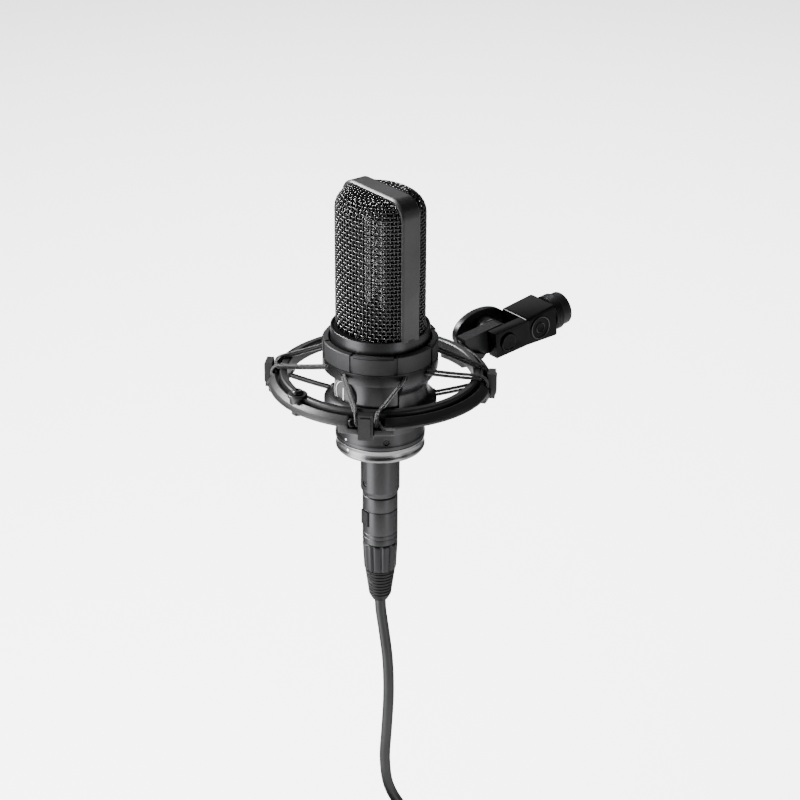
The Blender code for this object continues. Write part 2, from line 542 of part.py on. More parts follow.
def main():
    clear_scene()
    black = material("black_metal", (0.02, 0.02, 0.021), 0.42, 0.6)
    mesh_black = material("black_mesh", (0.025, 0.025, 0.026), 0.4, 0.7)
    grey = material("dark_satin", (0.06, 0.06, 0.062), 0.35, 0.6)
    plastic = material("black_plastic", (0.018, 0.018, 0.019), 0.3)
    steel = material("bright_steel", (0.55, 0.55, 0.56), 0.3, 1.0)
    brass = material("gold_plate", (0.75, 0.6, 0.3), 0.3, 1.0)
    magnet = material("nickel_magnet", (0.5, 0.5, 0.5), 0.25, 1.0)
    foil = material("ribbon_foil", (0.85, 0.85, 0.86), 0.2, 1.0)
    green = material("board_green", (0.02, 0.14, 0.05), 0.45)
    copper = material("transformer_can", (0.35, 0.34, 0.33), 0.4, 0.9)
    badge_grey = material("badge_enamel", (0.05, 0.05, 0.052), 0.25)
    elastic = material("braided_elastic", (0.03, 0.03, 0.03), 0.85)
    rubber = material("black_rubber", (0.02, 0.02, 0.02), 0.6)

    mic = empty("microphone_axis", (0, MIC_Y, RING_Z))
    socket = empty("socket_axis", (0, 0, 0), (SOCKET_TILT, 0, 0))
    pivot_at = (0, -PIVOT_REACH * math.cos(SOCKET_TILT), -PIVOT_REACH * math.sin(SOCKET_TILT))
    pivot = empty("pivot_axis", pivot_at)
    build_head(mic, black, mesh_black, steel, magnet, foil, plastic)
    build_body(mic, black, steel, brass, green, copper, badge_grey)
    build_basket(mic, black, grey, steel)
    build_ring(mic, plastic, elastic, steel)
    build_swivel(socket, pivot, plastic, brass, steel, plastic)
    build_plug(mic, plastic, rubber, steel)
    build_cable(mic, plastic, rubber, elastic)


main()
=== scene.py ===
import math

import bmesh
import bpy
from mathutils import Matrix, Vector


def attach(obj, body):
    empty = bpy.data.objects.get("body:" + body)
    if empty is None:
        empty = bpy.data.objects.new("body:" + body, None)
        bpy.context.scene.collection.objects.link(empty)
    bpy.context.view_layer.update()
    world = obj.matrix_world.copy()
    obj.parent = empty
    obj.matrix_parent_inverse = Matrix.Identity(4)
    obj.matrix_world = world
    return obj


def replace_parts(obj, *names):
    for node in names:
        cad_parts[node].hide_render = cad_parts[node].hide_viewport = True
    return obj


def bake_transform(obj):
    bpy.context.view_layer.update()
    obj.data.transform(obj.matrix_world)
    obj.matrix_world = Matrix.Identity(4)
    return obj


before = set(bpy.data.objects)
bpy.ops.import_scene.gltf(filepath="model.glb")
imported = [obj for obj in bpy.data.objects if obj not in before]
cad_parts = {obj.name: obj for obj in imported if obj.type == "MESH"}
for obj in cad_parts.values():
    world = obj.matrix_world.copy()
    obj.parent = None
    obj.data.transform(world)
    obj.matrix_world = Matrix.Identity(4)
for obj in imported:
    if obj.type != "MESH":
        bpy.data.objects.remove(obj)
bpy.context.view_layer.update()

MM = 0.001

# The microphone's own frame: its axis, and the outer ring's mid-plane
MIC_Y, RING_Z = -130, -6.3
MIC = Matrix.Translation((0, MIC_Y * MM, RING_Z * MM)) @ Matrix.Scale(MM, 4)
SOCKET_TILT = math.radians(5.5)
PIVOT_REACH = 48.2
SOCKET = Matrix.Rotation(SOCKET_TILT, 4, "X") @ Matrix.Scale(MM, 4)
PIVOT = (Matrix.Translation((0, -PIVOT_REACH * math.cos(SOCKET_TILT) * MM,
                             -PIVOT_REACH * math.sin(SOCKET_TILT) * MM)) @ Matrix.Scale(MM, 4))
FRONT = math.radians(-90)
BOSS_R = 54.8                   # from the axis to the ring's bolt
RING_SHALLOW = ((0, 62), (-90, 62), (180, 62), (69.5, 21), (110.5, 21))      # degrees: middle, width
CLIPS = [math.radians(a) for a in (-45, 45, 135, 225)]
CLIP_NAMES = ["front_right", "rear_right", "rear_left", "front_left"]
CORD_SPREAD, LUG_SPREAD = math.radians(31.4), math.radians(24)
ACROSS = Matrix.Rotation(math.radians(90), 4, "Y")       # turns a lathe's axis to +X
ALONG = Matrix.Rotation(math.radians(-90), 4, "X")       # and to +Y
FACING = Matrix.Rotation(math.radians(90), 4, "X")       # and to -Y

# The head's oval shell
HEAD_FOOT, HEAD_TOP, HEAD_WIDE, HEAD_DEEP = 31.2, 108.2, 26.4, 22.6
HEAD_ROUND = 10                 # the bend where its wall turns into its flat top
CLOTH_DROP, CLOTH_TUCK = 1.5, 0.4        # how far the cloth lies below the band, and reaches under its side
BAND_WIDE, BAND_HALF, BAND_THICK = 26.6, 6, 2.2

# The cable: its coil's height and turn, where its far end hangs out from the axis, and its size
COIL_Z, COIL_TURN, TAIL_AT = -336, math.radians(51.6), 48.7
CABLE_R = 3.2

# The camera: its direction, distance, lens, roll, and the point that it looks at
VIEW_AZIMUTH, VIEW_ELEVATION = math.radians(51.58), math.radians(25.75)
VIEW_DISTANCE, VIEW_LENS, VIEW_ROLL = 1.218, 101.46, math.radians(0.29)
VIEW_RIGHT = Vector((math.cos(VIEW_AZIMUTH), math.sin(VIEW_AZIMUTH), 0))
VIEW_TARGET = Vector((0, MIC_Y, RING_Z - 13.78)) * MM + VIEW_RIGHT * 10.65 * MM
FLOOR_Z = -0.75


# Materials

def surface(name, color, roughness, metallic=0.0, grain=900, spread=0.08, bump=0.05, stretch=(1, 1, 1),
            coat=0.0, uneven=0.25, edge=1.0):
    """A finish with fine grain: its colour, gloss and height vary with a noise that stretch draws out."""
    made = bpy.data.materials.new(name)
    made.use_nodes = True
    nodes, links = made.node_tree.nodes, made.node_tree.links
    shader = nodes["Principled BSDF"]
    shader.inputs["Metallic"].default_value = metallic
    shader.inputs["Specular Tint"].default_value = (edge, edge, edge, 1)
    shader.inputs["Coat Weight"].default_value = coat
    shader.inputs["Coat Roughness"].default_value = 0.12
    place = nodes.new("ShaderNodeTexCoord")
    mapping = nodes.new("ShaderNodeMapping")
    mapping.inputs["Scale"].default_value = stretch
    links.new(place.outputs["Object"], mapping.inputs["Vector"])
    fine = nodes.new("ShaderNodeTexNoise")
    fine.inputs["Scale"].default_value = grain
    fine.inputs["Detail"].default_value = 4
    links.new(mapping.outputs["Vector"], fine.inputs["Vector"])
    broad = nodes.new("ShaderNodeTexNoise")
    broad.inputs["Scale"].default_value = 45
    broad.inputs["Detail"].default_value = 3
    links.new(place.outputs["Object"], broad.inputs["Vector"])
    gloss = nodes.new("ShaderNodeMapRange")
    gloss.inputs["To Min"].default_value = max(0.05, roughness - spread)
    gloss.inputs["To Max"].default_value = min(1, roughness + spread)
    links.new(fine.outputs["Fac"], gloss.inputs["Value"])
    links.new(gloss.outputs["Result"], shader.inputs["Roughness"])
    tone = nodes.new("ShaderNodeMix")
    tone.data_type = "RGBA"
    tone.inputs[6].default_value = (*[c * (1 - uneven) for c in color], 1)
    tone.inputs[7].default_value = (*[c * (1 + uneven) for c in color], 1)
    links.new(broad.outputs["Fac"], tone.inputs[0])
    links.new(tone.outputs[2], shader.inputs["Base Color"])
    relief = nodes.new("ShaderNodeBump")
    relief.inputs["Strength"].default_value = bump
    relief.inputs["Distance"].default_value = 0.0002
    links.new(fine.outputs["Fac"], relief.inputs["Height"])
    links.new(relief.outputs["Normal"], shader.inputs["Normal"])
    return made


def woven(name, color, bright, pitch, roughness, metallic, skew=True):
    """A braid or weave laid out over the piece's UVs, in millimetres: dark yarn with lighter flecks."""
    made = surface(name, color, roughness, metallic)
    nodes, links = made.node_tree.nodes, made.node_tree.links
    shader = nodes["Principled BSDF"]
    uv = nodes.new("ShaderNodeUVMap")
    uv.uv_map = "lay"
    parts = nodes.new("ShaderNodeSeparateXYZ")
    links.new(uv.outputs["UV"], parts.inputs["Vector"])

    def maths(kind, a, b=None):
        node = nodes.new("ShaderNodeMath")
        node.operation = kind
        for i, value in enumerate((a, b)):
            if value is None:
                continue
            if isinstance(value, (int, float)):
                node.inputs[i].default_value = value
            else:
                links.new(value, node.inputs[i])
        return node.outputs[0]

    u = maths("MULTIPLY", parts.outputs["X"], math.tau / pitch)
    v = maths("MULTIPLY", parts.outputs["Y"], math.tau / pitch)
    if skew:
        u, v = maths("ADD", u, v), maths("SUBTRACT", u, v)
    height = maths("MULTIPLY", maths("SINE", u), maths("SINE", v))
    fleck = maths("SMOOTH_MAX", maths("MULTIPLY", maths("SUBTRACT", height, 0.35), 1.6), 0.0)
    tone = nodes.new("ShaderNodeMix")
    tone.data_type = "RGBA"
    tone.inputs[6].default_value = (*color, 1)
    tone.inputs[7].default_value = (*bright, 1)
    links.new(fleck, tone.inputs[0])
    links.new(tone.outputs[2], shader.inputs["Base Color"])
    relief = nodes.new("ShaderNodeBump")
    relief.inputs["Strength"].default_value = 0.8
    relief.inputs["Distance"].default_value = 0.0003
    links.new(height, relief.inputs["Height"])
    links.new(relief.outputs["Normal"], shader.inputs["Normal"])
    return made


TURNED = (1, 1, 40)
frame_satin = surface("frame_satin", (0.045, 0.045, 0.046), 0.38, 0.92, 1500, 0.05, 0.12, edge=0.4)
matt = surface("matt_black", (0.034, 0.034, 0.035), 0.56, 0.9, 1500, 0.06, 0.15, edge=0.4)
satin = surface("satin_black", (0.029, 0.029, 0.03), 0.34, 0.92, 1500, 0.06, 0.10, edge=0.3)
lathed = surface("lathed_black", (0.03, 0.03, 0.031), 0.4, 0.92, 60, 0.08, 0.10, TURNED, edge=0.25)
dark_satin = surface("dark_satin", (0.12, 0.12, 0.122), 0.28, 0.97, 60, 0.08, 0.12, TURNED, edge=0.2)
moulded = surface("moulded_black", (0.02, 0.02, 0.021), 0.38, 0.85, 1100, 0.06, 0.25, edge=0.3)
ring_grey = surface("ring_moulding", (0.027, 0.027, 0.0275), 0.42, 0.85, 1300, 0.06, 0.35, edge=0.4)
gloss = surface("gloss_black", (0.006, 0.006, 0.0063), 0.24, 0.9, 500, 0.05, 0.06, edge=0.3)
# The grille's level and upright wires are one black wire. The level wires get the lighter colour below as
# painted highlight, and the upright wires get the darker one as painted shade, so the cloth shows bright
# dashes.
wire = surface("painted_highlight_wire", (0.085, 0.085, 0.086), 0.2, 0.96, 1500, 0.05, 0.05, edge=0.3)
painted_shade_wire = surface("painted_shade_wire", (0.035, 0.035, 0.0353), 0.22, 0.96, 1500, 0.05, 0.05, edge=0.3)
rubber = surface("rubber_black", (0.013, 0.013, 0.013), 0.42, 0.85, 1800, 0.08, 0.4, edge=0.3)
jacket = surface("cable_jacket", (0.02, 0.02, 0.0205), 0.34, 0.85, 700, 0.07, 0.2, edge=0.3)
dark_steel = surface("dark_steel", (0.02, 0.02, 0.021), 0.3, 0.9, 900, 0.08, 0.06)
brass = surface("brass", (0.7, 0.53, 0.25), 0.28, 1, 900, 0.08, 0.06)
gold = surface("gold_plate", (0.83, 0.63, 0.28), 0.2, 1, 900, 0.06, 0.03)
nickel = surface("nickel", (0.55, 0.55, 0.54), 0.22, 1, 500, 0.08, 0.04)
foil = surface("foil", (0.85, 0.85, 0.86), 0.25, 1, 120, 0.08, 0.3, (1, 1, 12))
board = surface("board_green", (0.02, 0.12, 0.05), 0.4, 0, 300, 0.08, 0.15)
can = surface("transformer_can", (0.33, 0.32, 0.31), 0.42, 0.9, 900, 0.1, 0.1)
enamel = surface("badge_enamel", (0.012, 0.012, 0.013), 0.34, 0, 400, 0.04, 0.02, coat=0.2)
ivory = surface("index_paint", (0.85, 0.85, 0.83), 0.45, 0, 1200, 0.05, 0.1)
braid = woven("elastic_braid", (0.004, 0.004, 0.004), (0.06, 0.06, 0.06), 1.3, 0.5, 0)
tape = woven("tie_weave", (0.02, 0.02, 0.02), (0.1, 0.1, 0.1), 1.6, 0.7, 0)
inner_wire = surface("inner_wire", (0.02, 0.02, 0.0203), 0.26, 0.96, 1500, 0.06, 0.05, edge=0.3)


# Shapes

def polar(radius, angle, z):
    return Vector((radius * math.cos(angle), radius * math.sin(angle), z))


def placed(name, bm, material, body, place=MIC, crease=32):
    """Makes the shape a piece of the object: smooth, but sharp where it turns by more than crease degrees."""
    bm.transform(place)
    bmesh.ops.recalc_face_normals(bm, faces=bm.faces)
    limit = math.radians(crease)
    for face in bm.faces:
        face.smooth = True
    for edge in bm.edges:
        edge.smooth = len(edge.link_faces) == 2 and edge.calc_face_angle(0) < limit
    data = bpy.data.meshes.new(name)
    bm.to_mesh(data)
    bm.free()
    piece = bpy.data.objects.new(name, data)
    bpy.context.collection.objects.link(piece)
    data.materials.append(material)
    if body:
        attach(piece, body)
    return piece


def rounded(profile, radius, steps=3):
    """The closed outline with each corner turned into a short curve."""
    found = []
    for i, here in enumerate(profile):
        here = Vector(here)
        before, after = Vector(profile[i - 1]), Vector(profile[(i + 1) % len(profile)])
        back, on = before - here, after - here
        if back.length < 1e-6 or on.length < 1e-6 or back.angle(on) > math.radians(172):
            found.append(here)
            continue
        start = here + back * min(radius / back.length, 0.45)
        end = here + on * min(radius / on.length, 0.45)
        for k in range(steps + 1):
            t = k / steps
            found.append(start * (1 - t) ** 2 + here * 2 * t * (1 - t) + end * t * t)
    return [tuple(p) for p in found]


def turn(bm, profile, steps=96, start=0.0, sweep=math.tau, radius=None, place=Matrix()):
    """Turns the closed outline of (radius, height) points about Z, all the way round or through sweep."""
    if radius:
        profile = rounded(profile, radius)
    whole = sweep >= math.tau - 1e-6
    rows = []
    for i in range(steps if whole else steps + 1):
        a = start + sweep * i / steps
        rows.append([bm.verts.new(place @ Vector((r * math.cos(a), r * math.sin(a), z))) for r, z in profile])
    for i in range(steps):
        here, there = rows[i], rows[(i + 1) % len(rows)]
        for j in range(len(profile)):
            k = (j + 1) % len(profile)
            bm.faces.new((here[j], there[j], there[k], here[k]))
    if not whole:
        bm.faces.new(rows[0])
        bm.faces.new(rows[-1][::-1])
    return bm


def lathe(name, profile, material, body, steps=96, radius=0.3, place=MIC, spin=Matrix()):
    bm = bmesh.new()
    turn(bm, [(max(r, 0.02), z) for r, z in profile], steps, radius=radius, place=spin)
    return placed(name, bm, material, body, place)


def prism(bm, outline, low, high, place=Matrix()):
    """Raises the outline of (x, y) points from low to high along Z."""
    foot = [bm.verts.new(place @ Vector((x, y, low))) for x, y in outline]
    head = [bm.verts.new(place @ Vector((x, y, high))) for x, y in outline]
    bm.faces.new(foot[::-1])
    bm.faces.new(head)
    for i in range(len(foot)):
        k = (i + 1) % len(foot)
        bm.faces.new((foot[i], foot[k], head[k], head[i]))
    return bm


def box(bm, low, high, place=Matrix()):
    return prism(bm, [(low[0], low[1]), (high[0], low[1]), (high[0], high[1]), (low[0], high[1])],
                 low[2], high[2], place)


def joined(bm, other):
    """Adds the other shape to bm, as it is."""
    part = bpy.data.meshes.new("part")
    other.to_mesh(part)
    other.free()
    bm.from_mesh(part)
    return bm


def bevel(bm, width, segments=3, angle=30):
    edges = [e for e in bm.edges if len(e.link_faces) == 2 and e.calc_face_angle(0) > math.radians(angle)]
    bmesh.ops.bevel(bm, geom=edges, offset=width, segments=segments, profile=0.6, affect="EDGES",
                    clamp_overlap=True)
    return bm


def carved(name, bm, cutters, material, body, place=MIC, edge=0.25, joins=()):
    """Cuts the cutters out of the shape, adds joins to it, then rounds every edge that is left."""
    def temporary(shape):
        bmesh.ops.recalc_face_normals(shape, faces=shape.faces)
        data = bpy.data.meshes.new("temporary")
        shape.to_mesh(data)
        shape.free()
        made = bpy.data.objects.new("temporary", data)
        bpy.context.collection.objects.link(made)
        return made

    target = temporary(bm)
    others = []
    for shape, kind in [(j, "UNION") for j in joins] + [(c, "DIFFERENCE") for c in cutters]:
        other = temporary(shape)
        step = target.modifiers.new("step", "BOOLEAN")
        step.operation, step.solver, step.object = kind, "EXACT", other
        others.append(other)
    bpy.context.view_layer.update()
    result = bmesh.new()
    result.from_object(target, bpy.context.evaluated_depsgraph_get())
    for made in [*others, target]:
        bpy.data.objects.remove(made)
    bmesh.ops.remove_doubles(result, verts=result.verts, dist=0.01)
    bmesh.ops.dissolve_limit(result, angle_limit=math.radians(1), verts=result.verts, edges=result.edges)
    if edge:
        bevel(result, edge, 2, 38)
    return placed(name, result, material, body, place)


def smooth_path(points, step):
    """A line through the points, evenly spaced along its length."""
    points = [Vector(p) for p in points]
    fine = []
    for i in range(len(points) - 1):
        a, b = points[i], points[i + 1]
        before = points[i - 1] if i else a * 2 - b
        after = points[i + 2] if i + 2 < len(points) else b * 2 - a
        for k in range(16):
            t = k / 16
            fine.append(0.5 * (2 * a + (b - before) * t + (2 * before - 5 * a + 4 * b - after) * t * t
                               + (3 * a - before - 3 * b + after) * t ** 3))
    fine.append(points[-1])
    return evenly(fine, step)


def evenly(fine, step):
    lengths = [0.0]
    for a, b in zip(fine, fine[1:]):
        lengths.append(lengths[-1] + (b - a).length)
    count = max(2, round(lengths[-1] / step))
    found, j = [], 0
    for i in range(count + 1):
        want = lengths[-1] * i / count
        while j < len(fine) - 2 and lengths[j + 1] < want:
            j += 1
        span = lengths[j + 1] - lengths[j]
        found.append(fine[j].lerp(fine[j + 1], (want - lengths[j]) / span if span else 0))
    return found


def tube(bm, points, radius, sides=10, caps=True):
    """A round tube along the points; its UVs hold millimetres along and around it."""
    lay = bm.loops.layers.uv.get("lay") or bm.loops.layers.uv.new("lay")
    radii = radius if isinstance(radius, (list, tuple)) else [radius] * len(points)
    direction = (points[1] - points[0]).normalized()
    side = direction.orthogonal().normalized()
    rows, run = [], 0.0
    for i, point in enumerate(points):
        ahead = (points[min(i + 1, len(points) - 1)] - points[max(i - 1, 0)]).normalized()
        side = (side - ahead * side.dot(ahead)).normalized()
        other = ahead.cross(side)
        run += (point - points[i - 1]).length if i else 0
        rows.append(([bm.verts.new(point + (side * math.cos(t) + other * math.sin(t)) * radii[i])
                      for t in (math.tau * k / sides for k in range(sides))], run))
    for (here, a), (there, b) in zip(rows, rows[1:]):
        for k in range(sides):
            n = (k + 1) % sides
            face = bm.faces.new((here[k], here[n], there[n], there[k]))
            around = math.tau * radii[0] / sides
            for loop, place in zip(face.loops, ((a, k), (a, k + 1), (b, k + 1), (b, k))):
                loop[lay].uv = (place[0], place[1] * around)
    if caps:
        bm.faces.new(rows[0][0][::-1])
        bm.faces.new(rows[-1][0])
    return bm


# The head: two woven shells inside a flat band

def weave(side, inset, pitch, radius, sides, per_crossing):
    """One half of the head's wire cloth: upright wires that run over the top, and level wires round them."""
    wide, deep, top = HEAD_WIDE - inset, HEAD_DEEP - inset, HEAD_TOP - CLOTH_DROP - inset
    edge = BAND_HALF - CLOTH_TUCK
    first = math.asin(edge / deep)
    span = math.pi - 2 * first
    columns = round(span * (wide + deep) / 2 / pitch)
    bend_start = top - HEAD_ROUND
    wall_rows = (bend_start - HEAD_FOOT) / pitch
    bend_rows = HEAD_ROUND * math.pi / 2 / pitch
    amplitude = radius * 0.95

    def point(i, j, lift):
        """The place at column i, row j, up the wall and round the bend, lifted off the cloth's middle."""
        t = first + span * i / columns
        if j <= wall_rows:
            pull, z, lean = 0, HEAD_FOOT + j * pitch, 0
        else:
            lean = min((j - wall_rows) / bend_rows, 1) * math.pi / 2
            pull, z = HEAD_ROUND * (1 - math.cos(lean)), bend_start + HEAD_ROUND * math.sin(lean)
        out = Vector((math.cos(t), side * math.sin(t), 0))
        x, y = (wide - pull) * math.cos(t), side * (deep - pull) * math.sin(t)
        return Vector((x, y, z)) + (out * math.cos(lean) + Vector((0, 0, math.sin(lean)))) * lift

    flat_deep, flat_wide = deep - HEAD_ROUND, wide - HEAD_ROUND
    rows_up = wall_rows + bend_rows
    upright, level = bmesh.new(), bmesh.new()
    for i in range(columns + 1):
        line = []
        count = int(rows_up * per_crossing)
        for k in range(count + 1):
            j = rows_up * k / count
            line.append(point(i, j, amplitude * math.cos(math.pi * (j + i))))
        t = first + span * i / columns
        x, y = flat_wide * math.cos(t), flat_deep * math.sin(t)
        count = int(max(y - edge, 0) / pitch * per_crossing)
        for k in range(1, count + 1):
            j = rows_up + (flat_deep - y) / pitch + (y - edge) * k / count / pitch
            line.append(Vector((x, side * (y - (y - edge) * k / count),
                                top + amplitude * math.cos(math.pi * (j + i)))))
        tube(upright, line, radius, sides, caps=False)
    for j in range(1, int(rows_up) + 1):
        count = columns * per_crossing
        line = [point(columns * k / count, j, -amplitude * math.cos(math.pi * (columns * k / count + j)))
                for k in range(count + 1)]
        tube(level, line, radius, sides, caps=False)
    for j in range(int(rows_up) + 1, int(rows_up + (flat_deep - edge) / pitch) + 1):
        y = flat_deep - (j - rows_up) * pitch
        reach = math.acos(y / flat_deep)
        low, high = (((math.pi / 2 - s * reach) - first) / span * columns for s in (1, -1))
        count = max(2, int((high - low) * per_crossing))
        line = []
        for k in range(count + 1):
            i = low + (high - low) * k / count
            line.append(Vector((flat_wide * math.cos(first + span * i / columns), side * y,
                                top - amplitude * math.cos(math.pi * (i + j)))))
        tube(level, line, radius, sides, caps=False)
    return upright, level


def head_line(steps=10):
    """The band's outer line in the XZ plane, with its outward directions, from foot to foot over the top."""
    found = [(Vector((BAND_WIDE, 0, HEAD_FOOT - 1)), Vector((1, 0, 0)))]
    for k in range(steps + 1):
        t = math.radians(90 * k / steps)
        aim = Vector((math.cos(t), 0, math.sin(t)))
        found.append((Vector((BAND_WIDE - HEAD_ROUND, 0, HEAD_TOP - HEAD_ROUND)) + aim * HEAD_ROUND, aim))
    return found + [(Vector((-p.x, 0, p.z)), Vector((-a.x, 0, a.z))) for p, a in reversed(found)]


def build_head():
    for name, side in (("front", -1), ("rear", 1)):
        cloth = weave(side, inset=0.6, pitch=2.1, radius=0.35, sides=6, per_crossing=4)
        # The upright wires take the darker copy of the wire as painted shade, and the level wires take the
        # lighter copy as painted highlight.
        for kind, shape, material in zip(("upright", "level"), cloth, (painted_shade_wire, wire)):
            outer = placed(f"grille_{kind}_wires_{name}", shape, material, "microphone", crease=80)
            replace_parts(outer, f"{name}_grille")
        screen = weave(side, inset=2.6, pitch=1.5, radius=0.26, sides=4, per_crossing=2)
        for kind, shape in zip(("upright", "level"), screen):
            inner = placed(f"inner_{kind}_wires_{name}", shape, inner_wire, "microphone", crease=100)
            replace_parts(inner, f"{name}_screen")
    half = [(0, 4.9), (-0.12, 5.1), (-0.95, 5.95), (-1.2, BAND_HALF), (-BAND_THICK, BAND_HALF)]
    outline = [(out, -y) for out, y in half] + half[::-1]
    bm = bmesh.new()
    rows = [[bm.verts.new(p + a * out + Vector((0, y, 0))) for out, y in outline] for p, a in head_line()]
    for here, there in zip(rows, rows[1:]):
        for j in range(len(outline)):
            k = (j + 1) % len(outline)
            bm.faces.new((here[j], here[k], there[k], there[j]))
    bm.faces.new(rows[0])
    bm.faces.new(rows[-1][::-1])
    band = placed("head_band", bm, frame_satin, "microphone", crease=25)
    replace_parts(band, "head_frame")


# The body: collar, tube, badge, base and neck

def build_body():
    lathe("collar", [(26.7, 17.6), (26.7, 31.5), (25.6, 31.5), (25.4, 30.6), (24.2, 30.4), (22.4, 30.4),
                     (22.4, 14.4), (24.6, 14.4)], satin, "microphone", radius=0.35)
    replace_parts(bpy.data.objects["collar"], "mic_collar")
    seat = turn(bmesh.new(), [(0.02, -6), (9.3, -6), (9.3, 1), (0.02, 1)], 40,
                place=Matrix.Translation((0, -24.6, -3)) @ FACING)
    tube_shape = turn(bmesh.new(), [(24.7, 14.1), (24.7, -14.2), (21.8, -15.6), (21.8, -31.5), (20.2, -31.5),
                                    (20.2, -15), (22.2, -13), (22.2, 14.1)], 96)
    shell = carved("body_shell", tube_shape, [seat], satin, "microphone")
    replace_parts(shell, "body_tube")
    bm = bmesh.new()
    spot = Matrix.Translation((0, -24.2, -3)) @ FACING
    turn(bm, [(0.02, -1.2), (8.9, -1.2), (8.9, 0.2), (8.3, 0.75), (7.7, 0.5), (7.4, 0.1), (4, 0.45),
              (0.02, 0.6)], 64, radius=0.15, place=spot)
    badge = placed("badge_rim", bm, enamel, "microphone")
    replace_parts(badge, "badge")
    bm = bmesh.new()
    turn(bm, [(6.75, 0.2), (7.0, 0.2), (7.0, 0.42), (6.75, 0.42)], 64, place=spot)
    box(bm, (-0.3, -3.6, 0.3), (0.3, 3.6, 0.8), spot)
    placed("badge_lines", bm, ivory, "microphone")
    base = lathe("body_floor", [(21.8, -31.8), (21.8, -34.5), (6, -34.5), (6, -31.8)], satin, "microphone")
    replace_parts(base, "body_base")
    hole = turn(bmesh.new(), [(0.02, -1.6), (1.7, -1.6), (1.7, 2), (0.02, 2)], 20,
                place=Matrix.Translation((0, -10.7, -61.6)) @ FACING)
    shape = turn(bmesh.new(), rounded([(10.8, -34.8), (10.8, -66.4), (9.95, -68.4), (9.85, -69.5),
                                       (8.4, -69.5), (8.4, -43), (5, -43), (5, -34.8)], 0.12), 96)
    neck = carved("neck", shape, [hole], lathed, "microphone", edge=0.15)
    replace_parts(neck, "xlr_neck")
    spot = Matrix.Translation((0, -9.9, -61.6)) @ FACING
    slot = box(bmesh.new(), (-1.6, -0.22, 0.05), (1.6, 0.22, 1), spot)
    shape = turn(bmesh.new(), rounded([(0.02, -0.9), (1.4, -0.9), (1.4, 0.4), (0.02, 0.55)], 0.15), 28,
                 place=spot)
    screw = carved("neck_screw_head", shape, [slot], dark_steel, "microphone", edge=0)
    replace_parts(screw, "neck_screw")


# The basket: skirt ring, ribs with windows, cup and lock ring

def sector(bm, radius, centre, width, low, high):
    outline = [(0, 0)] + [(radius * math.cos(centre + width * (k / 12 - 0.5)),
                           radius * math.sin(centre + width * (k / 12 - 0.5))) for k in range(13)]
    return prism(bm, outline, low, high)


def spoke(angle, z, length, radius, steps=20, start=0.0):
    """A round bar that points outwards from the axis at that angle and height."""
    place = Matrix.Translation((0, 0, z)) @ Matrix.Rotation(angle, 4, "Z") @ ACROSS
    return turn(bmesh.new(), [(0.02, start), (radius, start), (radius, length), (0.02, length)], steps,
                place=place)


